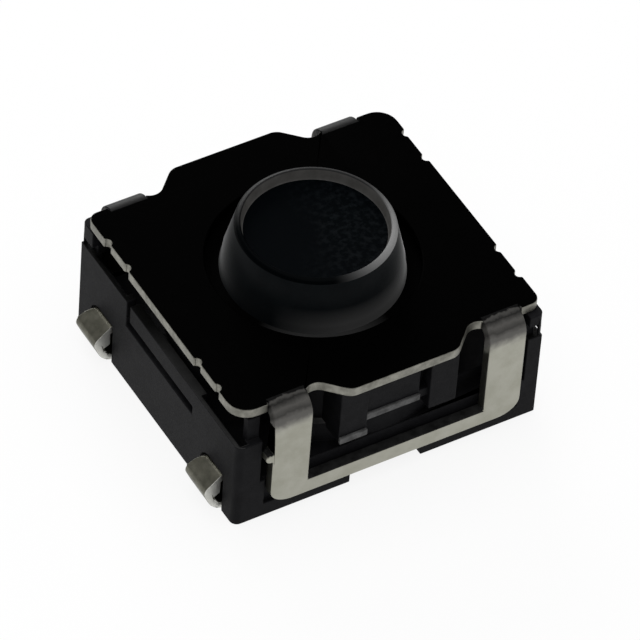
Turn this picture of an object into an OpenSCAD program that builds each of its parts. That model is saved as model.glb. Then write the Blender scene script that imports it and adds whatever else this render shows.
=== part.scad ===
// Sealed square tactile switch for surface mounting: moulded base with two
// insert-moulded contact strips, snap dome, silicone seal, pressed button and
// a stamped steel cover whose two stirrups clip over the base.
// Origin: middle of the footprint, on the board plane. +Z up, millimetres.
// The stirrups are on the -Y and +Y sides, the solder terminals on -X and +X.

/* [Base] */
// Width of the base across the two terminal sides
base_x = 6.24; // [6.24:0.02:6.4]
// Depth of the base across the two stirrup sides
base_y = 5.76; // [5.72:0.02:5.8]
// Height of the walls round the base
wall_top = 2; // [1.95:0.05:2.1]
// Gap under the base when the switch stands on its terminals
standoff = 0.02; // [0.01:0.01:0.05]

/* [Cover] */
// Thickness of the stamped sheet
sheet_t = 0.22; // [0.18:0.01:0.22]
// Height of the cover's top face above the board
cover_top = 2.78; // [2.77:0.01:2.85]
// Width of the cover plate between its plain side edges
plate_x = 6.22; // [6.1:0.02:6.24]
// Depth of the cover plate at its four corners
plate_y = 5.5; // [5.44:0.02:5.56]
// Distance between the outer edges of the two tongues
tongue_y = 6.22; // [6.18:0.02:6.3]
// Width of each tongue
tongue_w = 2.51; // [2.45:0.01:2.55]
// Distance between the outer faces of the two stirrups
stirrup_y = 6.06; // [6.04:0.02:6.1]
// Width of each stirrup leg
leg_w = 0.76; // [0.7:0.02:0.78]
// Width between the two legs of a stirrup
leg_gap = 3.62; // [3.58:0.02:3.66]
// Sideways offset of each stirrup from the middle
stirrup_shift = 0.1; // [0:0.02:0.1]
// Height of the bar that joins the legs
bar_h = 0.34; // [0.3:0.02:0.4]
// Height of the bar's lower edge above the board
bar_z = 0.39; // [0.36:0.01:0.42]
// Radius of the button hole in the cover
hole_r = 1.95; // [1.85:0.01:1.98]

/* [Button] */
// Height of the button's rim above the board
button_top = 3.67; // [3.55:0.02:3.85]
// Radius of the button at its rim
rim_r = 1.445; // [1.4:0.005:1.5]
// Radius of the button where it passes the cover
waist_r = 1.645; // [1.6:0.005:1.7]
// Depth of the dished top below the rim
dish_depth = 0.22; // [0.1:0.02:0.24]
// How far the button travels when pressed
travel = 0.25; // [0.15:0.05:0.25]

/* [Terminals] */
// Distance between the two terminals on one side
terminal_pitch = 4.06; // [4:0.02:4.16]
// Width of each terminal
terminal_w = 0.7; // [0.6:0.02:0.72]
// Thickness of the contact strips
strip_t = 0.15; // [0.12:0.01:0.15]
// Height of each J-bent terminal, from board to its top
terminal_h = 0.89; // [0.86:0.01:0.92]
// Reach of each terminal beyond the base wall
terminal_out = 0.33; // [0.28:0.01:0.36]

/* [Hidden] */
$fn = 64;
eps = 0.01;

// Cover heights
plate_under = cover_top - sheet_t;
bend_r = 0.4;
bar_top = bar_z + bar_h;
stirrup_in = stirrup_y / 2 - sheet_t;
leg_in = leg_gap / 2;
leg_out = leg_in + leg_w;

// Inside of the base
floor_z = 1;
boss_r = 2.62;
boss_top = 2.33;
bore_r = 2.3;
moat_z = 1.25;
ledge_r = 2.76;
ledge_top = 1.4;
ledge_half = 1.75;
wall_t = 0.2;
rim_t = 0.08;
pocket_z = 1.8;
post_depth = 0.4;
rib_w = 0.25;
raised_half = 0.73;
raised_z = 0.25;
window_top = 0.96;
leg_clear = 0.15;

// Contact strips
strip_z = terminal_h - strip_t;
pad_top = floor_z + 0.02;
pitch_half = terminal_pitch / 2;

// Snap dome
dome_r = 1.6;
dome_t = 0.05;
dome_h = travel + dome_t;

// Seal and plunger
seal_floor = 1.77;
seal_t = 0.12;
nub_end = pad_top + dome_h + dome_t + 0.01;
stem_end = seal_floor + seal_t + 0.02;
flange_r = 2.1;
flange_top = plate_under - 0.03;
flange_t = 0.18;

// Box between two corners
module block(low, high) {
    translate(low) cube(high - low);
}

// The two stirrup sides are one shape, turned half a turn about Z
module both_sides() {
    for (turn = [0, 180]) rotate([0, 0, turn]) children();
}

// Upright arch as seen along X: flat foot at z = 0, both top corners rounded
module arch(w, h, r) {
    translate([-w / 2, 0]) square([w, h - r]);
    translate([-w / 2 + r, 0]) square([w - 2 * r, h]);
    for (s = [-1, 1]) translate([s * (w / 2 - r), h - r]) circle(r);
}

// Arch pushed along X from x0 to x1, centred on y
module arch_bar(x0, x1, y, w, h, r) {
    translate([x0, y, 0]) rotate([90, 0, 90]) linear_extrude(x1 - x0) arch(w, h, r);
}

// ---------------------------------------------------------------- contacts

function unit(v) = v / norm(v);

function half_angle(a, b, c) = acos(unit(a - b) * unit(c - b)) / 2;

// Point inside the corner a-b-c that lies d away from both its sides
function inward(a, b, c, d) =
    b + unit(unit(a - b) + unit(c - b)) * d / sin(half_angle(a, b, c));

// Polygon in which each corner with a radius is rounded
module rounded(points, radii) {
    n = len(points);
    before = [for (i = [0:n - 1]) points[(i + n - 1) % n]];
    after = [for (i = [0:n - 1]) points[(i + 1) % n]];
    reach = [for (i = [0:n - 1]) radii[i] / tan(half_angle(before[i], points[i], after[i]))];
    polygon([for (i = [0:n - 1]) each radii[i] == 0 ? [points[i]] : [
        points[i] + unit(before[i] - points[i]) * reach[i],
        points[i] + unit(after[i] - points[i]) * reach[i]
    ]]);
    for (i = [0:n - 1]) if (radii[i] > 0)
        translate(inward(before[i], points[i], after[i], radii[i])) circle(radii[i]);
}

// Side view of one J-bent terminal at the -X wall, in x and z: it comes out of
// the wall sloping down, folds back and runs in under the base; the fold is
// squeezed until only a small hole is left at the wall
module j_profile() {
    wall_x = -base_x / 2;
    inner_end = wall_x + 0.6;
    foot_end = wall_x + 0.35;
    start = [inner_end, terminal_h];
    top = [wall_x, terminal_h];
    nose = [wall_x - terminal_out - 0.04, 0.66 * terminal_h];
    heel = [wall_x - 0.11, 0];
    toe = [foot_end, 0];
    hole_low = strip_t + 0.05;
    difference() {
        rounded([start, top, nose, heel, toe, [foot_end, strip_t], [inner_end, strip_z]],
                [0, strip_t, strip_t + 0.02, strip_t + 0.25, 0, 0, 0]);
        translate([wall_x, strip_t]) square([1, strip_z - strip_t]);
        rounded([[wall_x + eps, 0.55 * terminal_h], [wall_x - 0.13, 0.4 * terminal_h],
                 [wall_x - 0.02, hole_low], [wall_x + eps, hole_low]], [0, 0.03, 0.03, 0]);
    }
}

// One terminal at the -X wall, centred on y = 0, with its far top edge rolled over
module j_terminal() {
    roll_r = 0.25;
    intersection() {
        translate([0, terminal_w / 2, 0]) rotate([90, 0, 0]) linear_extrude(terminal_w) j_profile();
        translate([-base_x, 0, 0]) rotate([90, 0, 90]) linear_extrude(base_x) {
            translate([-terminal_w / 2, 0]) square([terminal_w, terminal_h - roll_r]);
            translate([-terminal_w / 2, 0]) square([terminal_w - roll_r, terminal_h]);
            translate([terminal_w / 2 - roll_r, terminal_h - roll_r]) circle(roll_r);
        }
    }
}

// Strip across the base at y, with a terminal at both ends
module terminal_strip(y) {
    reach = base_x / 2 - 0.5;
    translate([0, y, 0]) {
        j_terminal();
        rotate([0, 0, 180]) j_terminal();
        block([-reach, -terminal_w / 2, strip_z], [reach, terminal_w / 2, terminal_h]);
    }
}

// Contact that ends in the middle pad under the dome
module front_contact() {
    color("darkkhaki") {
        terminal_strip(-pitch_half);
        block([-0.3, -pitch_half, strip_z], [0.3, 0, terminal_h]);
        translate([0, 0, strip_z]) cylinder(r = 0.5, h = pad_top - strip_z);
    }
}

// Contact that carries the dome's rim on two pads
module rear_contact() {
    color("darkkhaki") {
        terminal_strip(pitch_half);
        for (s = [-1, 1]) {
            block([s * 1.5 - 0.2, 0, strip_z], [s * 1.5 + 0.2, pitch_half, terminal_h]);
            translate([s * 1.5, 0, strip_z]) cylinder(r = 0.2, h = pad_top - strip_z);
        }
    }
}

// -------------------------------------------------------------------- base

// Block that carries the cover's tongue: two prongs and a set-back crossbar,
// with a lip along the foot of one prong and of the crossbar
module tongue_block() {
    root_y = -2;
    prong_in = 0.64;
    prong_out = 1.21;
    prong_y = -2.98;
    prong_z = 1.31;
    crossbar_y = prong_y + 0.08;
    crossbar_z = 1.6;
    lip_out = 0.05;
    lip_h = 0.15;
    slot_w = 0.17;
    difference() {
        translate([stirrup_shift, 0, 0]) difference() {
            union() {
                for (s = [0, 1]) mirror([s, 0, 0])
                    block([prong_in, prong_y, prong_z], [prong_out, root_y, plate_under]);
                block([-prong_out, prong_y - lip_out, prong_z],
                      [-prong_in, prong_y + eps, prong_z + lip_h]);
                block([-prong_in - eps, crossbar_y, crossbar_z], [prong_in + eps, root_y, plate_under - 0.02]);
                block([-prong_in - eps, crossbar_y - lip_out, crossbar_z],
                      [prong_in - slot_w, crossbar_y + eps, crossbar_z + lip_h]);
            }
            // slot between the crossbar and the right-hand prong
            block([prong_in - slot_w, crossbar_y - 0.1, crossbar_z + 0.2],
                  [prong_in, crossbar_y + 0.2, plate_under + eps]);
        }
        cylinder(r = bore_r + 0.02, h = 4);
        // seat of the seal's rim
        translate([0, 0, boss_top]) cylinder(r = boss_r, h = 1);
    }
}

// Corner post at the +X end of the -Y side, with notches in its foot and its
// outer edge rounded
module corner_post() {
    x0 = stirrup_shift + leg_out + leg_clear;
    x1 = base_x / 2;
    y0 = -base_y / 2;
    r = 0.12;
    difference() {
        block([x0, y0, wall_top - eps], [x1, y0 + post_depth, plate_under]);
        block([x0 - eps, y0 - eps, wall_top], [x1 - 0.1, y0 + 0.12, 2.3]);
        block([x1 - 0.12, y0 + 0.06, wall_top], [x1 + eps, y0 + post_depth + eps, 2.18]);
        difference() {
            block([x1 - r, y0 - r, 1], [x1 + r, y0 + r, 3]);
            translate([x1 - r, y0 + r, 0]) cylinder(r = r, h = 4);
        }
    }
}

// Thin rib beside the -X leg, up to the cover
module leg_rib() {
    x1 = stirrup_shift - leg_out - leg_clear;
    block([x1 - rib_w, -base_y / 2 + 0.14, wall_top - eps], [x1, -base_y / 2 + 0.3, plate_under - 0.03]);
}

// Shallow recess in the -Y wall for the stirrup, and the window above the low
// wall between and behind its legs
module stirrup_recess() {
    depth_y = -stirrup_in + 0.02;
    window_y = -2.45;
    clear = 0.05;
    translate([stirrup_shift, 0, 0]) {
        block([-leg_out - clear, -base_y, bar_z - clear], [leg_out + clear, depth_y, 3]);
        block([-leg_out - leg_clear, -base_y, window_top], [leg_out + leg_clear, depth_y + 0.03, 3]);
        block([-leg_out - leg_clear, -base_y, window_top], [leg_out - clear, window_y, 3]);
    }
}

// Pockets that leave the -X wall only a thin rim towards both corners
module rim_pockets() {
    x0 = rim_t - base_x / 2;
    front_end = -1.42;
    rear_end = 1.33;
    rib_x = stirrup_shift - leg_out - leg_clear - rib_w;
    block([x0, rim_t - base_y / 2, pocket_z], [rib_x - 0.02, front_end, 3]);
    block([x0, rear_end, pocket_z], [x0 + wall_t, base_y / 2 - post_depth - 0.02, 3]);
}

// Rounding of the base's upright corner below the cover's well rounded corner
module corner_cut() {
    r = 0.15;
    difference() {
        block([-base_x, -base_y, 0], [r - base_x / 2, r - base_y / 2, wall_top]);
        translate([r - base_x / 2, r - base_y / 2, -1]) cylinder(r = r, h = 5);
    }
}

// L-shaped slit in the -X wall
module wall_slit() {
    x0 = -base_x / 2;
    w = 0.2;
    z0 = 1.4;
    y1 = 1.17;
    x1 = x0 + wall_t + eps;
    block([x0 - eps, -1.25, z0], [x1, y1, z0 + w]);
    block([x0 - eps, y1 - 0.12, z0], [x1, y1, wall_top + eps]);
}

// Openings that the two terminals of the -X wall come out through, rounded more
// at the top on the far side
module terminal_notches() {
    w = terminal_w + 0.1;
    h = terminal_h + 0.04;
    x1 = -base_x / 2 + 0.42;
    for (s = [-1, 1]) {
        arch_bar(-4, x1, s * pitch_half, w, h, 0.3);
        arch_bar(-4, x1, s * pitch_half - w / 4, w / 2, h, 0.05);
    }
}

module base_housing() {
    half_x = base_x / 2;
    half_y = base_y / 2;
    color([0.16, 0.16, 0.17]) difference() {
        union() {
            difference() {
                block([-half_x, -half_y, standoff], [half_x, half_y, wall_top]);
                block([-half_x + wall_t, -half_y + wall_t, moat_z], [half_x - wall_t, half_y - wall_t, 3]);
                both_sides() {
                    stirrup_recess();
                    rim_pockets();
                }
            }
            // round boss and the ledge at its foot
            translate([0, 0, standoff]) cylinder(r = boss_r, h = boss_top - standoff);
            intersection() {
                translate([0, 0, strip_z]) cylinder(r = ledge_r, h = ledge_top - strip_z);
                block([-ledge_half, -ledge_r, 0], [ledge_half, ledge_r, wall_top]);
            }
            both_sides() {
                tongue_block();
                corner_post();
                leg_rib();
            }
        }
        translate([0, 0, floor_z]) cylinder(r = bore_r, h = 3);
        // middle of the underside is raised
        block([-raised_half, -base_y, -1], [raised_half, base_y, raised_z]);
        both_sides() {
            wall_slit();
            corner_cut();
            terminal_notches();
        }
        front_contact();
        rear_contact();
    }
}

// ------------------------------------------------------------------- cover

// What is cut away between the -Y tongue and the +X leg: a round groove that
// runs out along a slope, tangent to the tongue's rounded corner
module relief() {
    corner_r = 0.28;
    groove_r = 0.26;
    corner = [tongue_w / 2 - corner_r, corner_r - tongue_y / 2];
    groove = [leg_in - 0.165, -plate_y / 2 - 0.18];
    apart = groove - corner;
    aim = atan2(apart[1], apart[0]) - acos((corner_r + groove_r) / norm(apart));
    slope = [cos(aim), sin(aim)];
    difference() {
        polygon([
            [corner[0], -tongue_y],
            corner,
            corner + corner_r * slope,
            groove - groove_r * slope,
            groove,
            [leg_in, groove[1]],
            [leg_in, -tongue_y]
        ]);
        translate(corner) circle(corner_r);
    }
    intersection() {
        translate(groove) circle(groove_r);
        translate([0, -tongue_y]) square([leg_in, tongue_y]);
    }
}

// What is cut away along the -Y and -X edges of the plate
module edge_cuts() {
    corner_r = [0.4, 0.2];
    bite_r = 0.09;
    bite_y = 1.29;
    tab_w = 0.7;
    translate([stirrup_shift, 0]) for (s = [0, 1]) mirror([s, 0]) {
        relief();
        // the sheet turns down into the leg here
        translate([leg_in, -tongue_y]) square([leg_w, tongue_y - stirrup_y / 2 + bend_r]);
    }
    // rounding of both corners
    for (s = [0, 1]) mirror([s, 0]) {
        r = corner_r[s];
        translate([r - plate_x / 2, r - plate_y / 2]) difference() {
            translate([-2 * r, -2 * r]) square(2 * r);
            circle(r);
        }
    }
    // two small tabs, each set back between two round bites
    for (s = [0, 1]) mirror([0, s]) {
        translate([-plate_x / 2, bite_y]) circle(bite_r);
        translate([-plate_x / 2, bite_y + tab_w]) circle(bite_r);
        translate([-plate_x / 2 - 0.1, bite_y]) square([0.13, tab_w]);
    }
}

module plate_outline() {
    difference() {
        union() {
            square([plate_x, plate_y], center = true);
            for (turn = [0, 180]) rotate(turn)
                translate([stirrup_shift - leg_in, -tongue_y / 2]) square([leg_gap, tongue_y / 2]);
        }
        for (turn = [0, 180]) rotate(turn) edge_cuts();
    }
}

// Sheet bent from the plate down into one leg, between x0 and x1
module leg_bend(x0, x1) {
    translate([x0, -stirrup_y / 2 + bend_r, cover_top - bend_r]) rotate([90, 0, 90])
        linear_extrude(x1 - x0) intersection() {
            difference() {
                circle(bend_r);
                circle(bend_r - sheet_t);
            }
            translate([-bend_r, 0]) square(bend_r);
        }
}

// Flat face of a stirrup, in x and z
module stirrup_outline() {
    r = 0.45;
    barb_r = 0.1;
    difference() {
        union() {
            translate([-leg_out, bar_z + r]) square([2 * leg_out, cover_top - bend_r - bar_z - r]);
            translate([-leg_out + r, bar_z]) square([2 * (leg_out - r), r + eps]);
            for (s = [-1, 1]) translate([s * (leg_out - r), bar_z + r]) circle(r);
            // barb on the edge of the -X leg
            translate([-leg_out - 0.04, 1.62]) circle(barb_r);
        }
        translate([-leg_in, bar_top]) square([leg_gap, 3]);
    }
}

module stirrup() {
    translate([stirrup_shift, 0, 0]) {
        translate([0, -stirrup_in, 0]) rotate([90, 0, 0]) linear_extrude(sheet_t) stirrup_outline();
        leg_bend(-leg_out, -leg_in);
        leg_bend(leg_in, leg_out);
    }
}

module cover() {
    color("silver") {
        translate([0, 0, plate_under]) linear_extrude(sheet_t) difference() {
            plate_outline();
            circle(hole_r);
        }
        both_sides() stirrup();
    }
}

// ------------------------------------------------- dome, seal and button

module snap_dome() {
    big_r = (dome_r * dome_r + dome_h * dome_h) / (2 * dome_h);
    color("gainsboro") translate([0, 0, pad_top]) rotate_extrude() intersection() {
        translate([0, dome_h - big_r]) difference() {
            circle(big_r + dome_t, $fn = 180);
            circle(big_r, $fn = 180);
        }
        square([dome_r, 1]);
    }
}

module seal() {
    color("dimgray") rotate_extrude() polygon([
        [0, nub_end],
        [0.45, nub_end],
        [0.55, seal_floor],
        [bore_r - 0.02, seal_floor],
        [bore_r - 0.02, boss_top],
        [boss_r - 0.04, boss_top],
        [boss_r - 0.04, plate_under],
        [bore_r - 0.14, plate_under],
        [bore_r - 0.14, seal_floor + seal_t],
        [0, seal_floor + seal_t]
    ]);
}

// Half section of the button
module button_profile() {
    r_edge = 0.08;
    rim_w = 0.1;
    dish_z = button_top - dish_depth;
    fillet = 0.12;
    difference() {
        union() {
            polygon([
                [0, stem_end],
                [0.9, stem_end],
                [0.9, flange_top - flange_t],
                [flange_r, flange_top - flange_t],
                [flange_r, flange_top],
                [waist_r + fillet, flange_top],
                [waist_r + 0.01, flange_top + fillet],
                [waist_r, cover_top + 0.05],
                [rim_r + 0.02, button_top - r_edge],
                [rim_r - r_edge, button_top - r_edge],
                [0, button_top - r_edge]
            ]);
            translate([0, dish_z - 0.1]) square([rim_r - r_edge, button_top - dish_z + 0.1]);
            translate([rim_r - r_edge, button_top - r_edge]) circle(r_edge);
        }
        translate([-eps, dish_z]) square([rim_r - rim_w + eps, 1]);
    }
}

module button() {
    color([0.06, 0.07, 0.08]) rotate_extrude() intersection() {
        button_profile();
        square([5, 5]);
    }
}

base_housing();
front_contact();
rear_contact();
snap_dome();
seal();
button();
cover();
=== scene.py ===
import math

import bmesh
import bpy
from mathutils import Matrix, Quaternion, Vector


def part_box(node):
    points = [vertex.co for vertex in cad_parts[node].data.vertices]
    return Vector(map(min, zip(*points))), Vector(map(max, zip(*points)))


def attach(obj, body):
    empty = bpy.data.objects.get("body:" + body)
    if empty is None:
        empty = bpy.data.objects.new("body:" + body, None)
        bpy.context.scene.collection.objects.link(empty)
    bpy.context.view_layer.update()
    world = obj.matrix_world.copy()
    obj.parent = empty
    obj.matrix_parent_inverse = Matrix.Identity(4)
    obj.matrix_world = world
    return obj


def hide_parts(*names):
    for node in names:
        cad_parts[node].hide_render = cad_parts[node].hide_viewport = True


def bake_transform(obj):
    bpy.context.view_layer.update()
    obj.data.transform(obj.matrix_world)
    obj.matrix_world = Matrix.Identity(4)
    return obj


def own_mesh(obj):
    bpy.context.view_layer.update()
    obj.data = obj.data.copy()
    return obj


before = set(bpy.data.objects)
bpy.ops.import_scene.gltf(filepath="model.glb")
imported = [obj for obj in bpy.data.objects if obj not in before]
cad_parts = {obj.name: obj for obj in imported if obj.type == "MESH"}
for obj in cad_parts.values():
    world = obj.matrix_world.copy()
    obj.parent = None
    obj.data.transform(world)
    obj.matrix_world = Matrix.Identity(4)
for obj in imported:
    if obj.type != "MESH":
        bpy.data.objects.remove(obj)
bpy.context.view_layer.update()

# Pieces are modelled in millimetres and brought to metres when they are finished.
MM = 0.001


def box_mm(node):
    low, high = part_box(node)
    return Vector(low) / MM, Vector(high) / MM


# ------------------------------------------------------------------ sizes
# Every size below is in millimetres. The driving ones come from the frame.
base_low, base_high = box_mm("base_housing")
cover_low, cover_high = box_mm("cover")
button_low, button_high = box_mm("button")
seal_low, _ = box_mm("seal")
dome_low, dome_high = box_mm("snap_dome")

# Cover
sheet = 0.22
cover_top = cover_high.z
plate_under = cover_top - sheet
plate_x = cover_high.x
plate_y = 2.75
tongue_y = cover_high.y
tongue_half = 1.255
leg_in = 1.81
leg_out = 2.57
stirrup_shift = 0.1
stirrup_y = 3.03
bend_r = 0.4
bar_z = cover_low.z
bar_top = bar_z + 0.34
bar_corner = 0.45
hole_r = 1.95
round_corner, post_corner = 0.4, 0.2

# Base
base_x = base_high.x
base_y = 2.88
standoff = base_low.z
wall_top = 2.0
window_top = 0.96
wall_t = 0.2
rim_t, rib_w = 0.08, 0.25
thick_front, thick_rear = -1.42, 1.33
pocket_z = 1.8
moat_z = 1.25
floor_z = 1.0
boss_r = 2.62
boss_top = 2.33
bore_r = 2.3
leg_clear = 0.15

# Terminals
strip_t = 0.15
terminal_w = 0.7
terminal_h = 0.89
terminal_y = 2.03
terminal_out = 0.33
pad_top = floor_z + 0.02

# Button
button_top = button_high.z
flange_r = button_high.x
flange_top = plate_under - 0.03
rim_r = 1.445
waist_r = 1.645
dish_z = button_top - 0.22


# ----------------------------------------------------------------- camera
def camera():
    azimuth, elevation, roll = (math.radians(a) for a in (-33.215, 46.098, 4.611))
    distance = 125.8 * MM
    back = Vector((math.sin(azimuth) * math.cos(elevation), -math.cos(azimuth) * math.cos(elevation),
                   math.sin(elevation)))
    turn = (-back).to_track_quat("-Z", "Y") @ Quaternion((0, 0, 1), roll)
    aim = Vector((0, 0, 1.5275)) * MM + turn @ Vector((0.1875, -0.2496, 0)) * MM
    data = bpy.data.cameras.new("camera")
    data.lens = 393.86
    data.sensor_width = 36
    data.clip_start, data.clip_end = 0.001, 10
    view = bpy.data.objects.new("camera", data)
    view.rotation_mode = "QUATERNION"
    view.rotation_quaternion = turn
    view.location = aim + back * distance
    bpy.context.scene.collection.objects.link(view)
    bpy.context.scene.camera = view


# ------------------------------------------------------- modelling by hand
def select_only(*pieces):
    bpy.ops.object.select_all(action="DESELECT")
    for piece in pieces:
        piece.select_set(True)
    bpy.context.view_layer.objects.active = pieces[-1]


def new_piece(name):
    piece = bpy.context.object
    piece.name = piece.data.name = name
    bpy.ops.object.transform_apply(location=True, rotation=True, scale=True)
    return piece


def block(name, low, high):
    """A block between two opposite corners."""
    low, high = Vector(low), Vector(high)
    bpy.ops.object.select_all(action="DESELECT")
    bpy.ops.mesh.primitive_cube_add(size=1, location=(low + high) / 2)
    bpy.context.object.scale = high - low
    return new_piece(name)


def rod(name, x, y, radius, z0, z1, sides=48):
    """An upright round rod from z0 to z1."""
    bpy.ops.object.select_all(action="DESELECT")
    bpy.ops.mesh.primitive_cylinder_add(vertices=sides, radius=radius, depth=z1 - z0,
                                        location=(x, y, (z0 + z1) / 2))
    return new_piece(name)


def open_up(piece, mode="FACE"):
    """Goes into edit mode with nothing selected."""
    select_only(piece)
    bpy.ops.object.mode_set(mode="EDIT")
    bpy.ops.mesh.select_mode(type=mode)
    bpy.ops.mesh.select_all(action="DESELECT")


def close_up():
    bpy.ops.object.mode_set(mode="OBJECT")


def pick(test, kind="faces"):
    """Selects the faces or edges of the open mesh that pass the test."""
    mesh = bmesh.from_edit_mesh(bpy.context.object.data)
    for part in getattr(mesh, kind):
        part.select_set(bool(test(part)))
    mesh.select_flush_mode()
    bmesh.update_edit_mesh(bpy.context.object.data)


def middle(part):
    if isinstance(part, bmesh.types.BMFace):
        return part.calc_center_median()
    return (part.verts[0].co + part.verts[1].co) / 2


def upright_at(x, y):
    """Test for an upright edge at x, y."""
    def test(edge):
        first, second = (v.co for v in edge.verts)
        return (first.xy - Vector((x, y))).length < 1e-3 and (second.xy - first.xy).length < 1e-4
    return test


def push(x=0, y=0, z=0):
    bpy.ops.mesh.extrude_region_move(TRANSFORM_OT_translate={"value": (x, y, z)})


def shift_edge(piece, x, z, dx=0.0, dz=0.0):
    """Moves the edge of the piece that runs along y through x, z."""
    open_up(piece, "EDGE")
    pick(lambda edge: math.hypot(middle(edge).x - x, middle(edge).z - z) < 0.01
         and abs(edge.verts[0].co.y - edge.verts[1].co.y) > 0.1, "edges")
    bpy.ops.transform.translate(value=(dx, 0, dz))
    close_up()


def combine(piece, tool, operation):
    """Cuts the tool out of the piece, or fuses it on, and uses the tool up."""
    select_only(piece)
    change = piece.modifiers.new("shape", "BOOLEAN")
    change.operation = operation
    change.solver = "EXACT"
    change.object = tool
    bpy.ops.object.modifier_apply(modifier=change.name)
    bpy.data.objects.remove(tool, do_unlink=True)


def cut(piece, *tools):
    for tool in tools:
        combine(piece, tool, "DIFFERENCE")


def fuse(piece, *tools):
    for tool in tools:
        combine(piece, tool, "UNION")


def half_turned(piece):
    """A second copy of the piece, turned half a turn about the upright axis."""
    select_only(piece)
    bpy.ops.object.duplicate()
    copy = bpy.context.object
    copy.rotation_euler.z = math.pi
    bpy.ops.object.transform_apply(location=False, rotation=True, scale=False)
    return copy


def block_pair(name, low, high):
    """The same block on the -Y side and, half a turn round, on the +Y side."""
    first = block(name, low, high)
    return first, half_turned(first)


def join(*pieces):
    """Makes the pieces one mesh, in the last one's object."""
    select_only(*pieces)
    bpy.ops.object.join()
    return bpy.context.object


def soften(piece, width, segments=2, angle=35):
    """Rounds all edges sharper than the angle, and shades the piece smooth."""
    select_only(piece)
    bpy.ops.object.shade_smooth()
    change = piece.modifiers.new("soft_edges", "BEVEL")
    change.width = width
    change.segments = segments
    change.limit_method = "ANGLE"
    change.angle_limit = math.radians(angle)
    change.use_clamp_overlap = False
    change.harden_normals = True
    bpy.ops.object.modifier_apply(modifier=change.name)


def lathe(name, rings, sides=128):
    """A round solid from rings of radius and height; it starts and ends in a flat cap."""
    bpy.ops.object.select_all(action="DESELECT")
    radius, z = rings[0]
    bpy.ops.mesh.primitive_circle_add(vertices=sides, radius=radius, fill_type="NGON", location=(0, 0, z))
    piece = new_piece(name)
    open_up(piece)
    bpy.ops.mesh.select_all(action="SELECT")
    for next_radius, next_z in rings[1:]:
        push(z=next_z - z)
        bpy.ops.transform.resize(value=(next_radius / radius, next_radius / radius, 1),
                                 center_override=(0, 0, next_z))
        radius, z = next_radius, next_z
    bpy.ops.mesh.select_all(action="SELECT")
    bpy.ops.mesh.normals_make_consistent(inside=False)
    close_up()
    return piece


def hoop(name, inner, outer, z0, z1, sides=128):
    """A plain ring with a round hole."""
    ring = rod(name, 0, 0, outer, z0, z1, sides)
    cut(ring, rod("hole", 0, 0, inner, z0 - 1, z1 + 1, sides))
    return ring


def finish(piece, body, slot, *materials):
    """Brings a piece to metres, gives it its finish and fixes it to its body, if it keeps to one."""
    select_only(piece)
    piece.scale = (MM, MM, MM)
    bpy.ops.object.transform_apply(location=False, rotation=False, scale=True)
    if len(materials) == 1:
        piece.data.materials.clear()
        piece.data.materials.append(materials[0])
    if body:
        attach(piece, body)
    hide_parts(piece.name.removesuffix("_piece"))


# ------------------------------------------------------------------ cover
def slanted(name, start, end, depth, z0, z1):
    """An upright block with one side on the line from start to end, and its body to the right of it."""
    along = (end - start).normalized()
    piece = block(name, (-0.5, -0.5, z0), (0.5, 0.5, z1))
    piece.scale = ((end - start).length, depth, 1)
    piece.rotation_euler.z = math.atan2(along.y, along.x)
    spot = (start + end) / 2 + Vector((along.y, -along.x)) * depth / 2
    piece.location = (spot.x, spot.y, 0)
    select_only(piece)
    bpy.ops.object.transform_apply(location=True, rotation=True, scale=True)
    return piece


def cut_groove(plate, side, below, above):
    """Round groove between tongue and leg, which runs out along a slope to the tongue's rounded corner."""
    corner_r, groove_r = 0.28, 0.26
    beside_leg, beyond_edge = 0.165, 0.18
    corner = Vector((tongue_half - corner_r, corner_r - tongue_y))
    groove = Vector((leg_in - beside_leg, -plate_y - beyond_edge))
    apart = groove - corner
    aim = math.atan2(apart.y, apart.x) - math.acos((corner_r + groove_r) / apart.length)
    slope = Vector((math.cos(aim), math.sin(aim)))
    foot, head = corner + corner_r * slope, groove - groove_r * slope
    rise = (head - foot).normalized()
    tip = foot - rise * (foot.y + tongue_y) / rise.y

    def placed(point):
        return Vector((stirrup_shift + side * point.x, point.y))

    ends = [placed(tip - rise * 0.3), placed(head)]
    cut(plate, slanted("cutter", ends[side < 0], ends[side > 0], 0.3, below, above))
    edge, middle_x = placed(Vector((leg_in, 0))).x, placed(groove).x
    inner_x = middle_x - side * groove_r * 0.9
    left, right = sorted((edge, inner_x))
    cut(plate, block("cutter", (left, -4, below), (right, groove.y - groove_r * 0.3, above)))
    slot = rod("slot", middle_x, groove.y, groove_r, below, above, 48)
    # the groove stops at the side of the leg
    left, right = sorted((edge, edge + side * 2))
    cut(slot, block("cutter", (left, -5, below - 1), (right, 5, above + 1)))
    cut(plate, slot)
    open_up(plate, "EDGE")
    pick(upright_at(*placed(tip)), "edges")
    bpy.ops.mesh.bevel(offset=(tip - foot).length - 0.002, segments=6, affect="EDGES")
    close_up()


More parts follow.
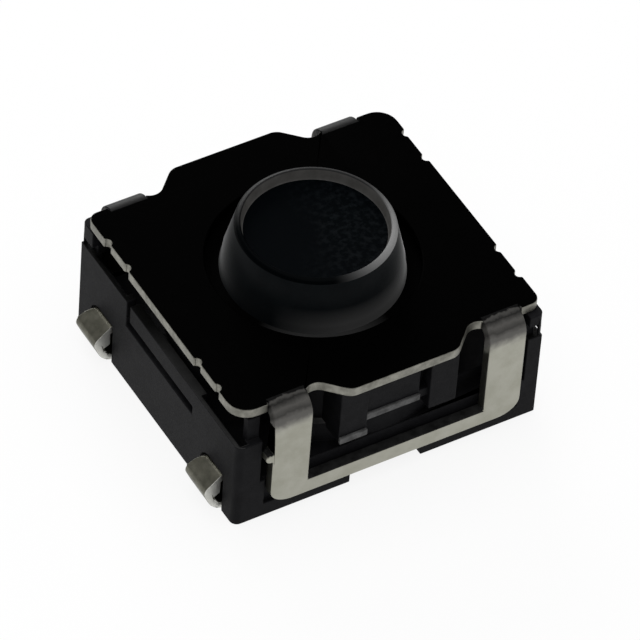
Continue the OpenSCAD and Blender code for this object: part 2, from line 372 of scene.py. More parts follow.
def half_plate():
    """The top sheet on the -Y side, cut to its outline."""
    plate = block("cover_piece", (-plate_x, -tongue_y, plate_under), (plate_x, 0, cover_top))
    below, above = plate_under - 1, cover_top + 1
    nick_r, shaved = 0.09, 0.03
    rear_nick, front_nick = -1.29, -1.99
    for side in (-1, 1):
        for near, far, y in ((leg_in - 0.001, 5, -plate_y), (leg_in, leg_out, bend_r - stirrup_y)):
            xs = sorted((stirrup_shift + side * near, stirrup_shift + side * far))
            cut(plate, block("cutter", (xs[0], -4, below), (xs[1], y, above)))
        cut_groove(plate, side, below, above)
        for y in (rear_nick, front_nick):
            cut(plate, rod("cutter", side * plate_x, y, nick_r, below, above, 20))
        cut(plate, block("cutter", (side * plate_x - shaved, front_nick, below),
                         (side * plate_x + shaved, rear_nick, above)))
    cut(plate, rod("cutter", 0, 0, hole_r, below, above, 128))
    open_up(plate, "EDGE")
    for x, size in ((-plate_x, round_corner), (plate_x, post_corner)):
        pick(upright_at(x, -plate_y), "edges")
        bpy.ops.mesh.bevel(offset=size, segments=8, affect="EDGES")
    close_up()
    return plate


def add_stirrup(plate):
    """Folds the two legs down out of the sheet and joins them with the bar."""
    open_up(plate)
    bend_y, bend_z = bend_r - stirrup_y, cover_top - bend_r
    pick(lambda face: face.normal.y < -0.9 and abs(middle(face).y - bend_y) < 1e-3)
    bpy.ops.mesh.spin(steps=8, angle=-math.pi / 2, center=(0, bend_y, bend_z), axis=(1, 0, 0))
    push(z=bar_top - bend_z)
    push(z=bar_z - bar_top)
    pick(lambda face: middle(face).z < bar_top and abs(middle(face).x - stirrup_shift) < leg_in + 1e-3)
    bpy.ops.mesh.bridge_edge_loops()
    bpy.ops.mesh.select_mode(type="EDGE")
    pick(lambda edge: abs(edge.verts[0].co.z - bar_z) + abs(edge.verts[1].co.z - bar_z) < 1e-3
         and abs(abs(middle(edge).x - stirrup_shift) - leg_out) < 1e-3, "edges")
    bpy.ops.mesh.bevel(offset=bar_corner, segments=10, affect="EDGES")
    close_up()
    barb_r, barb_out, barb_z = 0.1, 0.04, 1.62
    barb = rod("barb", 0, 0, barb_r, -sheet / 2 + 0.001, sheet / 2 - 0.001, 24)
    barb.rotation_euler.x = math.pi / 2
    barb.location = (stirrup_shift - leg_out - barb_out, -stirrup_y + sheet / 2, barb_z)
    select_only(barb)
    bpy.ops.object.transform_apply(location=True, rotation=True, scale=True)
    fuse(plate, barb)


def cover():
    half = half_plate()
    add_stirrup(half)
    open_up(half)
    pick(lambda face: middle(face).y > -1e-3)
    bpy.ops.mesh.delete(type="FACE")
    close_up()
    whole = join(half_turned(half), half)
    open_up(whole)
    bpy.ops.mesh.select_all(action="SELECT")
    bpy.ops.mesh.remove_doubles(threshold=0.0005)
    close_up()
    soften(whole, 0.03, 3)
    whole.data.materials.append(coated_plate())
    whole.data.materials.append(stirrup_steel())
    whole.data.materials.append(bar_top_shade())
    for face in whole.data.polygons:
        side = stirrup_shift if face.center.y < 0 else -stirrup_shift
        if abs(face.center.y) > stirrup_y - bend_r and abs(face.center.x - side) > leg_in - 0.01:
            face.material_index = 1 if abs(face.center.x - side) < leg_out + 0.1 else 0
        # upward faces low on the stirrup get a finish painted dark as shade
        if face.center.z < plate_under - 0.01:
            face.material_index = 2 if face.normal.z > 0.7 and face.center.z < wall_top else 1
    finish(whole, "switch_body", "cover_steel")


# ------------------------------------------------------------------- base
def base_shell():
    """Walls and floor of the base, with the stirrups' recesses and the terminals' openings."""
    shell = block("base_housing_piece", (-base_x, -base_y, standoff), (base_x, base_y, wall_top))
    open_up(shell, "EDGE")
    for side in (-1, 1):
        pick(upright_at(side * base_x, side * base_y), "edges")
        bpy.ops.mesh.bevel(offset=0.15, segments=6, affect="EDGES")
    close_up()
    cut(shell, block("cutter", (wall_t - base_x, wall_t - base_y, moat_z),
                     (base_x - wall_t, base_y - wall_t, 3)))
    cut(shell, rod("cutter", 0, 0, bore_r, floor_z, 3, 96))
    clear = 0.05
    recess = leg_out + clear
    cut(shell, *block_pair("cutter", (stirrup_shift - recess, -4, bar_z - clear),
                           (stirrup_shift + recess, sheet + 0.02 - stirrup_y, 3)))
    # windows above the bars, deeper where the corner post leaves room
    window = leg_out + leg_clear
    for far, y in ((window, -2.76), (leg_out - clear, -2.45)):
        cut(shell, *block_pair("cutter", (stirrup_shift - window, -4, window_top),
                               (stirrup_shift + far, y, 3)))
    # pockets that leave only a thin rim towards the corners
    rib_x = stirrup_shift - leg_out - leg_clear - rib_w
    pockets = ((rim_t - base_y, thick_front, rib_x - 0.02), (thick_rear, base_y - 0.42, 0.28 - base_x))
    for y0, y1, x1 in pockets:
        cut(shell, *block_pair("cutter", (rim_t - base_x, y0, pocket_z), (x1, y1, 3)))
    # L-shaped slit in each terminal wall
    slit_depth = wall_t + 0.01
    slit_low, slit_top = 1.4, 1.6
    slit_start, slit_turn, slit_end = -1.25, 1.05, 1.17
    cut(shell, *block_pair("cutter", (-4, slit_start, slit_low), (slit_depth - base_x, slit_end, slit_top)))
    cut(shell, *block_pair("cutter", (-4, slit_turn, slit_top - 0.1), (slit_depth - base_x, slit_end, 3)))
    # openings for the terminals, round at the far top corner
    opening_half, opening_depth = terminal_w / 2 + 0.05, 0.42
    for y in (-terminal_y, terminal_y):
        opening = block("cutter", (-4, y - opening_half, -1),
                        (opening_depth - base_x, y + opening_half, terminal_h + 0.04))
        open_up(opening, "EDGE")
        pick(lambda edge: middle(edge).y > y + opening_half - 0.01 and middle(edge).z > terminal_h, "edges")
        bpy.ops.mesh.bevel(offset=0.3, segments=6, affect="EDGES")
        close_up()
        cut(shell, opening, half_turned(opening))
    # shallow channel along the underside
    channel_half, channel_z = 0.73, 0.25
    cut(shell, block("cutter", (-channel_half, -4, -1), (channel_half, 4, channel_z)))
    soften(shell, 0.02)
    return shell


def black_and_painted_light(part, test):
    """Gives a part of the base its black finish and a paler one of painted light, with the painted light on
    the faces that pass the test.
    """
    part.data.materials.append(moulded_black())
    part.data.materials.append(lit_ledge_paint())
    for face in part.data.polygons:
        face.material_index = int(test(face))


def tongue_block():
    """Two prongs and a set-back crossbar under the tongue, with lips along their feet."""
    prong_in, prong_out, prong_z = 0.64, 1.21, 1.31
    crossbar_z, crossbar_top = 1.6, plate_under - 0.02
    lip_h, lip_out = 0.15, 0.05
    slot_w = 0.17
    front = -2.98
    bar_y = front + 0.08
    left, right = stirrup_shift - prong_in, stirrup_shift + prong_in
    sizes = (("prong", stirrup_shift - prong_out, left, front, prong_z, plate_under - 0.005, 0),
             ("prong", right, stirrup_shift + prong_out, front, prong_z, plate_under - 0.005, None),
             ("crossbar", left - 0.01, right + 0.01, bar_y, crossbar_z, crossbar_top, slot_w + 0.01))
    parts = []
    for name, x0, x1, y, z0, z1, short in sizes:
        part = block(name, (x0, y, z0), (x1, -2, z1))
        if short is not None:
            lip = block("lip", (x0, y - lip_out, z0), (x1 - short, y + 0.01, z0 + lip_h))
            soften(lip, 0.02)
            # the lip's front faces are painted paler as light
            black_and_painted_light(lip, lambda face: face.center.y < y)
            parts.append(lip)
        parts.append(part)
    cut(parts[-1], block("cutter", (right - slot_w, -4, crossbar_z + 0.2), (right + 0.1, bar_y + 0.2, 3)))
    for part in parts:
        if not part.name.startswith("lip"):
            cut(part, rod("cutter", 0, 0, boss_r - 0.01, 0, 4, 96))
            soften(part, 0.02)
    return parts


def corner_parts():
    """The notched post at one end of the stirrup and the thin rib at the other."""
    x0 = stirrup_shift + leg_out + leg_clear
    post = block("post", (x0, -base_y, wall_top - 0.05), (base_x, 0.4 - base_y, plate_under - 0.005))
    open_up(post, "EDGE")
    pick(upright_at(base_x, -base_y), "edges")
    bpy.ops.mesh.bevel(offset=0.12, segments=6, affect="EDGES")
    close_up()
    notch = 0.12
    front_notch_top, side_notch_top = 2.3, 2.18
    cut(post, block("cutter", (0, -4, 1), (base_x - 0.1, notch - base_y, front_notch_top)),
        block("cutter", (base_x - notch, 0.06 - base_y, 1), (4, 0.5 - base_y, side_notch_top)))
    x1 = stirrup_shift - leg_out - leg_clear
    rib = block("rib", (x1 - rib_w, 0.14 - base_y, wall_top - 0.05), (x1, 0.3 - base_y, plate_under - 0.03))
    for part in (post, rib):
        soften(part, 0.02)
    return [post, rib]


def base_housing():
    shell = base_shell()
    ledge_r, ledge_top, ledge_half = 2.76, 1.4, 1.75
    boss = hoop("boss", bore_r, boss_r, window_top - 0.05, boss_top)
    ledge = hoop("ledge", boss_r - 0.02, ledge_r, window_top - 0.05, ledge_top)
    cut(ledge, *block_pair("cutter", (-4, -4, 0), (-ledge_half, 4, 3)))
    soften(boss, 0.02)
    soften(ledge, 0.02)
    # the ledge's upward faces are painted paler as light
    black_and_painted_light(ledge, lambda face: face.normal.z > 0.5)
    one_side = tongue_block() + corner_parts()
    other_side = [half_turned(part) for part in one_side]
    parts = [boss, ledge, *one_side, *other_side, shell]
    for part in parts:
        if not part.data.materials:
            black_and_painted_light(part, lambda face: False)
    # the tops of the terminal walls are painted light, paler towards one end
    shell.data.materials.append(lit_wall_top_paint())
    for face in shell.data.polygons:
        on_wall = face.center.z > wall_top - 0.01 and abs(face.center.x) > base_x - wall_t - 0.01
        if face.normal.z > 0.9 and on_wall:
            face.material_index = 2
    whole = join(*parts)
    finish(whole, "switch_body", "base_plastic")


# --------------------------------------------------------------- contacts
def j_terminal(y):
    """One terminal at the -X wall: it slopes down out of the wall, folds back and runs in underneath."""
    wall = -base_x
    top = Vector((wall, terminal_h))
    nose = Vector((wall - terminal_out - 0.04, 0.66 * terminal_h))
    heel = Vector((wall - 0.11, 0))
    slope = math.degrees(math.atan2(top.y - nose.y, top.x - nose.x))
    rake = math.degrees(math.atan2(nose.y - heel.y, heel.x - nose.x))
    turns = (slope, 180 - slope - rake, rake)
    radii = (strip_t, strip_t + 0.02, strip_t + 0.25)
    reach = [radius * math.tan(math.radians(turn / 2)) for radius, turn in zip(radii, turns)]
    near_side, far_side = y - terminal_w / 2, y + terminal_w / 2
    strip = block("terminal", (wall + reach[0], near_side, terminal_h - strip_t),
                  (wall + 0.6, far_side, terminal_h))
    open_up(strip)
    pick(lambda face: face.normal.x < -0.9)
    heading = 180.0
    lengths = ((nose - top).length - reach[0] - reach[1], (heel - nose).length - reach[1] - reach[2],
               0.46 - reach[2])
    corner = Vector((wall + reach[0], terminal_h))
    for turn, radius, length in zip(turns, radii, lengths):
        inward = Vector((math.cos(math.radians(heading + 90)), math.sin(math.radians(heading + 90))))
        centre = corner + inward * radius
        bpy.ops.mesh.spin(steps=5, angle=math.radians(turn), center=(centre.x, y, centre.y), axis=(0, 1, 0))
        heading += turn
        way = Vector((math.cos(math.radians(heading)), math.sin(math.radians(heading))))
        push(x=way.x * length, z=way.y * length)
        corner = centre + Vector((way.y, -way.x)) * radius + way * length
    close_up()
    # the fold is squeezed until only a small hole is left at the wall
    outer_x, under_z, over_z = wall - 0.25, 0.07, terminal_h - 0.09
    filling = block("filling", (outer_x, near_side, under_z), (wall, far_side, over_z))
    shift_edge(filling, outer_x, over_z, dz=-0.21)
    shift_edge(filling, outer_x, under_z, dx=0.19)
    hole_x, hole_low, hole_top = wall - 0.13, strip_t + 0.05, 0.55 * terminal_h
    hole = block("cutter", (hole_x, y - 1, hole_low), (wall + 0.1, y + 1, hole_top))
    shift_edge(hole, hole_x, hole_top, dz=-0.12)
    shift_edge(hole, hole_x, hole_low, dx=0.11)
    cut(filling, hole)
    fuse(strip, filling)
    # the far top edge is rolled over
    roll_r = 0.25
    waste = block("waste", (-4, far_side - roll_r, terminal_h - roll_r),
                  (0, far_side + 0.1, terminal_h + 0.1))
    bar = rod("bar", 0, 0, roll_r, -5, 5, 32)
    bar.rotation_euler.y = math.pi / 2
    bar.location = (0, far_side - roll_r, terminal_h - roll_r)
    select_only(bar)
    bpy.ops.object.transform_apply(location=True, rotation=True, scale=True)
    cut(waste, bar)
    cut(strip, waste)
    return strip


def contact(name, y, pads):
    """One stamped strip across the base with a terminal at each end and its pads on top."""
    near = j_terminal(y)
    far = half_turned(near)
    far.location.y = 2 * y
    bpy.ops.object.transform_apply(location=True, rotation=False, scale=False)
    strip = block("strip", (0.55 - base_x, y - terminal_w / 2, terminal_h - strip_t),
                  (base_x - 0.55, y + terminal_w / 2, terminal_h))
    parts = [near, far, strip]
    for x, width, radius in pads:
        y0, y1 = sorted((0, y))
        parts.append(block("arm", (x - width / 2, y0, terminal_h - strip_t), (x + width / 2, y1, terminal_h)))
        parts.append(rod("pad", x, 0, radius, terminal_h - strip_t, pad_top))
    for part in parts:
        soften(part, 0.015)
    whole = join(*parts)
    whole.name = whole.data.name = name + "_piece"
    finish(whole, "switch_body", "terminal_plating", tarnished_tin())


# ---------------------------------------------------- button, seal, dome
def button():
    """Flanged plunger whose cone comes up through the cover to a dished top."""
    stem_r, edge, flange_t = 0.9, 0.08, 0.18
    foot_r = waist_r + 0.25
    inner = rim_r - 0.1
    # stem and flange
    rings = [(stem_r, button_low.z), (stem_r, flange_top - flange_t), (flange_r, flange_top - flange_t),
             (flange_r, flange_top)]
    # foot and cone
    rings += [(foot_r, flange_top), (waist_r + 0.12, flange_top), (waist_r + 0.04, flange_top + 0.03),
              (waist_r + 0.01, flange_top + 0.12), (waist_r, cover_top + 0.05),
              (rim_r + 0.02, button_top - edge)]
    # rounded lip
    for turn in (math.radians(a) for a in (30, 60, 90)):
        rings.append((rim_r - edge + edge * math.cos(turn), button_top - edge + edge * math.sin(turn)))
    # inner wall and dish
    rings += [(inner, button_top - 0.02), (inner - 0.02, dish_z + 0.03), (inner - 0.05, dish_z),
              (0.6, dish_z), (0.3, dish_z)]
    piece = lathe("button_piece", rings)
    select_only(piece)
    bpy.ops.object.shade_smooth_by_angle(angle=math.radians(40))
    side, rim, dish, lip, flange = range(5)
    for skin in (button_side(), button_rim(), button_dish(), button_lip(), button_flange()):
        piece.data.materials.append(skin)
    for face in piece.data.polygons:
        out, height = face.center.xy.length, face.center.z
        if height < flange_top - 0.01:
            face.material_index = dish
        elif height < flange_top + 0.02:
            face.material_index = flange
        elif height > dish_z - 0.01 and out < inner - 0.04:
            face.material_index = dish
        elif height > dish_z and out < inner:
            face.material_index = rim
        elif height > button_top - edge:
            face.material_index = lip
        else:
            face.material_index = side
    finish(piece, "button", "button_plastic")


def seal():
    """Silicone cup whose rim is clamped under the cover and whose floor sits under the button."""
    inner, outer, rim = bore_r - 0.14, bore_r - 0.02, boss_r - 0.04
    floor_under, floor_top = 1.77, 1.89
    rings = [(0.45, seal_low.z), (0.55, floor_under), (outer, floor_under), (outer, boss_top),
             (rim, boss_top), (rim, plate_under), (inner, plate_under), (inner, floor_top), (0.3, floor_top)]
    piece = lathe("seal_piece", rings, 96)
    soften(piece, 0.02)
    finish(piece, None, "seal_rubber", silicone_grey())
    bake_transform(piece)


def snap_dome():
    """Thin domed disc that clicks."""
    dome_t = 0.05
    rise = dome_high.z - dome_low.z - dome_t
    radius = dome_high.x
    curve = (radius ** 2 + rise ** 2) / (2 * rise)

    def height(r, thickness):
        return dome_low.z + rise - curve + math.sqrt((curve + thickness) ** 2 - r ** 2)

    steps = [radius * i / 10 for i in range(1, 11)]
    rings = [(r, height(r, 0)) for r in steps] + [(r, height(r, dome_t)) for r in reversed(steps)]
    piece = lathe("snap_dome_piece", rings, 96)
    select_only(piece)
    bpy.ops.object.shade_smooth_by_angle(angle=math.radians(40))
    finish(piece, "switch_body", "dome_steel", spring_steel())
    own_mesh(piece)


# -------------------------------------------------------------- materials
def add(tree, kind, inputs=None, **settings):
    """Adds a shader node and fills its sockets with values or links."""
    new = tree.nodes.new("ShaderNode" + kind)
    for key, value in settings.items():
        setattr(new, key, value)
    for key, value in (inputs or {}).items():
        if isinstance(value, bpy.types.NodeSocket):
            tree.links.new(value, new.inputs[key])
        else:
            new.inputs[key].default_value = value
    return new


def new_finish(name, **sockets):
    """A material, its node tree, its main shader and its place on the piece in millimetres."""
    material = bpy.data.materials.new(name)
    material.use_nodes = True
    tree = material.node_tree
    shader = tree.nodes["Principled BSDF"]
    for key, value in sockets.items():
        shader.inputs[key.replace("_", " ")].default_value = value
    coordinates = add(tree, "TexCoord")
    place = add(tree, "Mapping", {"Vector": coordinates.outputs["Object"], "Scale": (1 / MM,) * 3})
    return material, tree, shader, place.outputs[0]


def noise(tree, place, scale, detail=3, roughness=0.55):
    sizes = {"Scale": scale, "Detail": detail, "Roughness": roughness}
    return add(tree, "TexNoise", {"Vector": place, **sizes}).outputs["Fac"]


def remap(tree, value, low, high, to_low, to_high):
    change = add(tree, "MapRange", {"Value": value, "From Min": low, "From Max": high,
                                    "To Min": to_low, "To Max": to_high})
    return change.outputs[0]


def maths(tree, operation, *values):
    step = add(tree, "Math", operation=operation)
    for socket, value in zip(step.inputs, values):
        if isinstance(value, bpy.types.NodeSocket):
            tree.links.new(value, socket)
        else:
            socket.default_value = value
    return step.outputs[0]


def blend(tree, share, first, second):
    """Mixes two colours."""
    mix = add(tree, "Mix", data_type="RGBA")
    for socket, value in zip((mix.inputs[0], mix.inputs[6], mix.inputs[7]), (share, first, second)):
        if isinstance(value, bpy.types.NodeSocket):
            tree.links.new(value, socket)
        else:
            socket.default_value = value
    return mix.outputs[2]


def grey(level, warm=0.0):
    return (level * (1 + warm), level, level * (1 - 2 * warm), 1)


def roughen(tree, shader, height, strength, depth):
    bump = add(tree, "Bump", {"Height": height, "Strength": strength, "Distance": depth * MM})
    tree.links.new(bump.outputs[0], shader.inputs["Normal"])


def dot(tree, first, second):
    return add(tree, "VectorMath", {0: first, 1: second}, operation="DOT_PRODUCT").outputs["Value"]


def worn_edges(tree, radius):
    """1 along the edges and 0 elsewhere."""
    rounded = add(tree, "Bevel", {"Radius": radius * MM}, samples=4)
    shape = add(tree, "NewGeometry")
    return remap(tree, dot(tree, rounded.outputs[0], shape.outputs["Normal"]), 0.97, 0.8, 0, 1)


def coated_plate():
    """Cover plate: black coat on top, bare satin steel on the cut edges and underneath; round the button's
    hole the wall is painted black as shade in the gap.
    """
    material, tree, shader, place = new_finish("coated_plate", Roughness=0.45)
    split = add(tree, "SeparateXYZ", {"Vector": place})
    ragged = maths(tree, "MULTIPLY_ADD", noise(tree, place, 9, 4), 0.012, -0.006)
    level = maths(tree, "ADD", split.outputs["Z"], ragged)
    flat_place = add(tree, "CombineXYZ", {"X": split.outputs["X"], "Y": split.outputs["Y"]})
    radius = add(tree, "VectorMath", {0: flat_place.outputs[0]}, operation="LENGTH").outputs["Value"]
    # coat on top, plus painted shade: the wall of the button's hole is painted black too
    coat = maths(tree, "MAXIMUM", remap(tree, level, cover_top - 0.016, cover_top - 0.009, 0, 1),
                 maths(tree, "LESS_THAN", radius, hole_r + 0.05))
    steel = blend(tree, remap(tree, noise(tree, place, 6, 4), 0.35, 0.65, 0, 1),
                  (0.17, 0.167, 0.145, 1), (0.29, 0.285, 0.25, 1))
    coat_colour = blend(tree, noise(tree, place, 3), (0.0001, 0.0001, 0.0001, 1), (0.0003, 0.0003, 0.0003, 1))
    tree.links.new(blend(tree, coat, steel, coat_colour), shader.inputs["Base Color"])
    tree.links.new(maths(tree, "SUBTRACT", 1.0, coat), shader.inputs["Metallic"])
    fine = noise(tree, place, 40, 2)
    tree.links.new(remap(tree, fine, 0.3, 0.7, 0.38, 0.55), shader.inputs["Roughness"])
    shader.inputs["Specular IOR Level"].default_value = 0.004
    roughen(tree, shader, fine, 0.15, 0.01)
    return material


def bar_top_shade():
    """Upper side of the bars, painted dark as shade."""
    material, tree, shader, place = new_finish("bar_top_shade", Specular_IOR_Level=0.05, Roughness=0.6)
    patches = remap(tree, noise(tree, place, 6, 4), 0.35, 0.65, 0, 1)
    tree.links.new(blend(tree, patches, grey(0.008), grey(0.02)), shader.inputs["Base Color"])
    roughen(tree, shader, noise(tree, place, 30, 3), 0.15, 0.01)
    return material


def ramp(tree, value, stops):
    """A colour that follows the value through (place, grey level) stops."""
    band = add(tree, "ValToRGB", {"Fac": value})
    points = band.color_ramp.elements
    for number, (place, level) in enumerate(stops):
        point = points[number] if number < 2 else points.new(place)
        point.position = place
        point.color = grey(level, 0.03)
    return band.outputs["Color"]


def stirrup_steel():
    """Legs and bars: satin cream steel; round the bend at the top the coat thins out in patches, darker there
    partly from worn coat and partly as painted shade.
    """
    material, tree, shader, place = new_finish("stirrup_steel")
    split = add(tree, "SeparateXYZ", {"Vector": place})
    # way along the outside of the sheet, from the start of the bend
    out = maths(tree, "SUBTRACT", maths(tree, "ABSOLUTE", split.outputs["Y"]), stirrup_y - bend_r)
    way = maths(tree, "SUBTRACT", maths(tree, "ADD", out, cover_top), split.outputs["Z"])
    rear = maths(tree, "MULTIPLY", maths(tree, "GREATER_THAN", split.outputs["Y"], 0.0), 0.3)
    mottle = noise(tree, place, 5, 5, 0.6)
    ragged = maths(tree, "ADD", maths(tree, "SUBTRACT", way, rear),
                   maths(tree, "MULTIPLY_ADD", mottle, 0.24, -0.12))
    # round the bend: partly worn coat, partly painted shade darker than the lit steel
    patches = ramp(tree, ragged, [(0.0, 0.0004), (0.05, 0.0004), (0.08, 0.05), (0.12, 0.045), (0.18, 0.013),
                                  (0.26, 0.045), (0.35, 0.085), (0.5, 0.05), (0.61, 0.12), (0.76, 0.14),
                                  (0.86, 0.2), (0.95, 0.3)])
    bare = remap(tree, ragged, 0.7, 0.95, 0, 1)
    satin = blend(tree, remap(tree, noise(tree, place, 2.5, 4), 0.35, 0.65, 0, 1),
                  (0.325, 0.322, 0.27, 1), (0.38, 0.376, 0.325, 1))
    tree.links.new(blend(tree, bare, patches, satin), shader.inputs["Base Color"])
    tree.links.new(bare, shader.inputs["Metallic"])
    shader.inputs["Specular IOR Level"].default_value = 0.05
    fine = noise(tree, place, 30, 3)
    tree.links.new(remap(tree, fine, 0.3, 0.7, 0.36, 0.46), shader.inputs["Roughness"])
    roughen(tree, shader, fine, 0.1, 0.01)
    return material


def lit_ledge_paint():
    """Lips and ledge of the base, painted paler than the rest of the moulding as light falling on them."""
    material, tree, shader, place = new_finish("lit_ledge_paint", Specular_IOR_Level=0.2)
    patches = remap(tree, noise(tree, place, 5, 4), 0.35, 0.65, 0, 1)
    tree.links.new(blend(tree, patches, grey(0.03), grey(0.1)), shader.inputs["Base Color"])
    grain = noise(tree, place, 35, 3)
    tree.links.new(remap(tree, grain, 0.3, 0.7, 0.4, 0.55), shader.inputs["Roughness"])
    roughen(tree, shader, grain, 0.2, 0.01)
    return material


def lit_wall_top_paint():
    """Top of the terminal walls, painted paler towards one end of each as light reaching under the plate
    there.
    """
    material, tree, shader, place = new_finish("lit_wall_top_paint", Specular_IOR_Level=0.06, Roughness=0.55)
    split = add(tree, "SeparateXYZ", {"Vector": place})
    # painted light: paler towards one end of each wall top
    end = remap(tree, maths(tree, "MULTIPLY", split.outputs["X"], split.outputs["Y"]), -1.5, 1.5, 0, 1)
    patches = remap(tree, noise(tree, place, 5, 4), 0.3, 0.7, 0.7, 1)
    tree.links.new(blend(tree, maths(tree, "MULTIPLY", end, patches), grey(0.0035), grey(0.03)),
                   shader.inputs["Base Color"])
    roughen(tree, shader, noise(tree, place, 35, 3), 0.25, 0.012)
    return material


def moulded_black():
    """Base: satin black moulded plastic with a fine grain and slightly paler edges."""
    material, tree, shader, place = new_finish("moulded_black", Specular_IOR_Level=0.06)
    mottle = remap(tree, noise(tree, place, 4, 5), 0.3, 0.7, 0, 1)
    body = blend(tree, mottle, (0.0048, 0.0048, 0.0056, 1), (0.0088, 0.0088, 0.01, 1))
    tree.links.new(blend(tree, maths(tree, "MULTIPLY", worn_edges(tree, 0.02), 0.5), body, grey(0.03)),
                   shader.inputs["Base Color"])
    grain = noise(tree, place, 35, 3)
    tree.links.new(remap(tree, grain, 0.3, 0.7, 0.5, 0.65), shader.inputs["Roughness"])
    roughen(tree, shader, grain, 0.25, 0.012)
    return material


def tarnished_tin():
    """Terminals: dull olive plating outside, bright where the strip is cut."""
    material, tree, shader, place = new_finish("tarnished_tin", Metallic=1.0)
    shape = add(tree, "NewGeometry")
    normal = add(tree, "SeparateXYZ", {"Vector": shape.outputs["Normal"]})
    sheared = remap(tree, maths(tree, "ABSOLUTE", normal.outputs["Y"]), 0.6, 0.9, 0, 1)
    mottle = remap(tree, noise(tree, place, 5, 5), 0.3, 0.7, 0, 1)
    olive = blend(tree, mottle, (0.095, 0.093, 0.074, 1), (0.18, 0.176, 0.142, 1))
    tree.links.new(blend(tree, sheared, olive, (0.62, 0.62, 0.58, 1)), shader.inputs["Base Color"])
    fine = noise(tree, place, 30, 3)
    tree.links.new(remap(tree, fine, 0.3, 0.7, 0.35, 0.5), shader.inputs["Roughness"])
    roughen(tree, shader, fine, 0.2, 0.01)
    return material


def facing(tree, place, azimuth, low, high):
    """0 to 1 as a point's direction from the middle axis turns towards the azimuth."""
    angle = math.radians(azimuth)
    split = add(tree, "SeparateXYZ", {"Vector": place})
    flat = add(tree, "CombineXYZ", {"X": split.outputs["X"], "Y": split.outputs["Y"]})
    outward = add(tree, "VectorMath", {0: flat.outputs[0]}, operation="NORMALIZE").outputs[0]
    return remap(tree, dot(tree, outward, (math.cos(angle), math.sin(angle), 0)), low, high, 0, 1)


def button_skin(name, low, high, **sockets):
    """A button material with a fine grain; its colour is still to be joined."""
    material, tree, shader, place = new_finish(name, **sockets)
    fine = noise(tree, place, 25, 3)
    tree.links.new(remap(tree, fine, 0.3, 0.7, low, high), shader.inputs["Roughness"])
    roughen(tree, shader, fine, 0.12, 0.008)
    return material, tree, shader, place


def button_side():
    """Cone of the button, painted greyer at its foot on one side as light falling there, with more sheen
    towards one side.
    """
    material, tree, shader, place = button_skin("button_side", 0.3, 0.42, Specular_IOR_Level=0.05,
                                                Sheen_Roughness=0.3)
    cloud = remap(tree, noise(tree, place, 3, 5), 0.35, 0.7, 0, 1)
    skin = blend(tree, cloud, (0.002, 0.0029, 0.0036, 1), (0.0034, 0.0046, 0.0054, 1))
    height = add(tree, "SeparateXYZ", {"Vector": place}).outputs["Z"]
    # painted light: a greyer patch low on the cone on the side the light falls on
    foot = maths(tree, "MULTIPLY", remap(tree, height, cover_top + 0.3, cover_top - 0.05, 0, 1),
                 facing(tree, place, -80, 0.4, 0.95))
    tree.links.new(blend(tree, foot, skin, grey(0.055)), shader.inputs["Base Color"])
    # the sheen weight rises towards one side, standing in for brighter light there
    lit_side_sheen = facing(tree, place, -33, -1, 1)
    tree.links.new(remap(tree, lit_side_sheen, 0, 1, 0.3, 0.55), shader.inputs["Sheen Weight"])
    return material


def button_rim():
    """Inner wall of the button's rim, painted lighter as the light that falls on it."""
    material, tree, shader, place = button_skin("button_rim", 0.3, 0.4, Specular_IOR_Level=0.1)
    cloud = remap(tree, noise(tree, place, 4, 4), 0.3, 0.7, 0, 1)
    # painted light: lighter than the rest of the button
    tree.links.new(blend(tree, cloud, (0.05, 0.0485, 0.046, 1), (0.075, 0.073, 0.07, 1)),
                   shader.inputs["Base Color"])
    return material


def button_lip():
    """Rounded lip of the button: painted dark on the near side as shade, greyer behind, with a painted
    highlight on one side.
    """
    material, tree, shader, place = button_skin("button_lip", 0.25, 0.35, Specular_IOR_Level=0.015)
    # painted shade on the near side, greyer behind
    skin = blend(tree, facing(tree, place, 57, -0.2, 0.6), (0.0004, 0.0008, 0.0011, 1), grey(0.028))
    # a painted highlight on one side
    painted_highlight = facing(tree, place, -42, 0.4, 1.0)
    tree.links.new(blend(tree, maths(tree, "MULTIPLY", painted_highlight, painted_highlight), skin, grey(0.24)),
                   shader.inputs["Base Color"])
    return material


def button_flange():
    """Ring around the cone's foot, black but for a painted lit crescent on the near side."""
    material, tree, shader, place = button_skin("button_flange", 0.45, 0.6, Specular_IOR_Level=0.005)
    # painted light: a pale crescent on the near side
    tree.links.new(blend(tree, facing(tree, place, -112, 0.75, 0.97), grey(0.0003), grey(0.024)),
                   shader.inputs["Base Color"])
    return material


def button_dish():
    """Dished top of the button and the flange below, nearly black with fine paler mottles."""
    material, tree, shader, place = button_skin("button_dish", 0.4, 0.55, Specular_IOR_Level=0.01)
    mottles = maths(tree, "MULTIPLY", remap(tree, noise(tree, place, 9, 5), 0.45, 0.65, 0, 1),
                    facing(tree, place, -20, -0.6, 0.7))
    tree.links.new(blend(tree, mottles, (0.0003, 0.0008, 0.0013, 1), (0.0036, 0.0046, 0.0055, 1)),
                   shader.inputs["Base Color"])
    return material


def silicone_grey():
    """Seal: matt silicone."""
    material, tree, shader, place = new_finish("silicone_grey", Specular_IOR_Level=0.25)
    tree.links.new(blend(tree, noise(tree, place, 6, 4), grey(0.012), grey(0.02)),
                   shader.inputs["Base Color"])
    grain = noise(tree, place, 30, 3)
    tree.links.new(remap(tree, grain, 0.3, 0.7, 0.6, 0.8), shader.inputs["Roughness"])
    roughen(tree, shader, grain, 0.2, 0.01)
    return material


def spring_steel():
    """Dome: bright rolled steel."""
    material, tree, shader, place = new_finish("spring_steel", Metallic=1.0)
    drawn = add(tree, "Mapping", {"Vector": place, "Scale": (1, 12, 1)})
    lines = noise(tree, drawn.outputs[0], 8, 4)
    tree.links.new(blend(tree, lines, grey(0.55), grey(0.72)), shader.inputs["Base Color"])
    tree.links.new(remap(tree, lines, 0.3, 0.7, 0.2, 0.35), shader.inputs["Roughness"])
    roughen(tree, shader, lines, 0.1, 0.004)
    return material


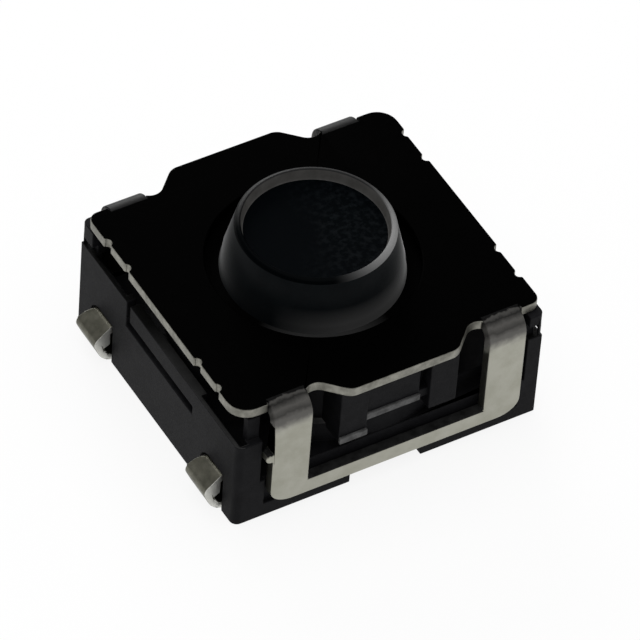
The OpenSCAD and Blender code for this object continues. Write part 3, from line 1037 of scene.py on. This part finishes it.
# -------------------------------------------------- floor, light and view
def background_seen(tree):
    """1 for rays from the camera, a mirror or glass, 0 for light that falls on things."""
    path = add(tree, "LightPath")
    seen = maths(tree, "ADD", path.outputs["Is Camera Ray"], path.outputs["Is Glossy Ray"])
    return maths(tree, "MINIMUM", maths(tree, "ADD", seen, path.outputs["Is Transmission Ray"]), 1.0)


def pale_floor():
    bpy.ops.object.select_all(action="DESELECT")
    bpy.ops.mesh.primitive_plane_add(size=1.2, location=(0, 0, 0))
    floor = new_piece("floor")
    material = bpy.data.materials.new("pale_floor")
    material.use_nodes = True
    tree = material.node_tree
    tree.nodes.remove(tree.nodes["Principled BSDF"])
    paint = add(tree, "BsdfDiffuse", {"Color": grey(0.9)})
    glow = add(tree, "Emission", {"Color": grey(1.0), "Strength": 1.0})
    share = maths(tree, "MULTIPLY", background_seen(tree), 0.88)
    mix = add(tree, "MixShader", {0: share, 1: paint.outputs[0], 2: glow.outputs[0]})
    tree.links.new(mix.outputs[0], tree.nodes["Material Output"].inputs["Surface"])
    floor.data.materials.append(material)


def soft_box(name, azimuth, elevation, distance, size, level):
    """A square soft light aimed at the part; the level is that of its face."""
    azimuth, elevation = math.radians(azimuth), math.radians(elevation)
    toward = Vector((math.sin(azimuth) * math.cos(elevation), -math.cos(azimuth) * math.cos(elevation),
                     math.sin(elevation)))
    data = bpy.data.lights.new(name, "AREA")
    data.size = size
    data.energy = level * math.pi * size ** 2
    light = bpy.data.objects.new(name, data)
    light.location = toward * distance
    light.rotation_mode = "QUATERNION"
    light.rotation_quaternion = toward.to_track_quat("Z", "Y")
    bpy.context.scene.collection.objects.link(light)


def studio_light():
    world = bpy.data.worlds.new("studio")
    world.use_nodes = True
    world.node_tree.nodes["Background"].inputs["Color"].default_value = (1, 1, 1, 1)
    world.node_tree.nodes["Background"].inputs["Strength"].default_value = 0.33
    bpy.context.scene.world = world
    soft_box("overhead", 0, 88, 0.2, 0.3, 1.45)
    soft_box("rear", 170, 16, 0.2, 0.12, 6)


def main():
    bpy.context.scene.view_settings.view_transform = "Standard"
    camera()
    pale_floor()
    studio_light()
    cover()
    base_housing()
    contact("front_contact", -terminal_y, [(0, 0.6, 0.5)])
    contact("rear_contact", terminal_y, [(-1.5, 0.4, 0.2), (1.5, 0.4, 0.2)])
    snap_dome()
    seal()
    button()


main()
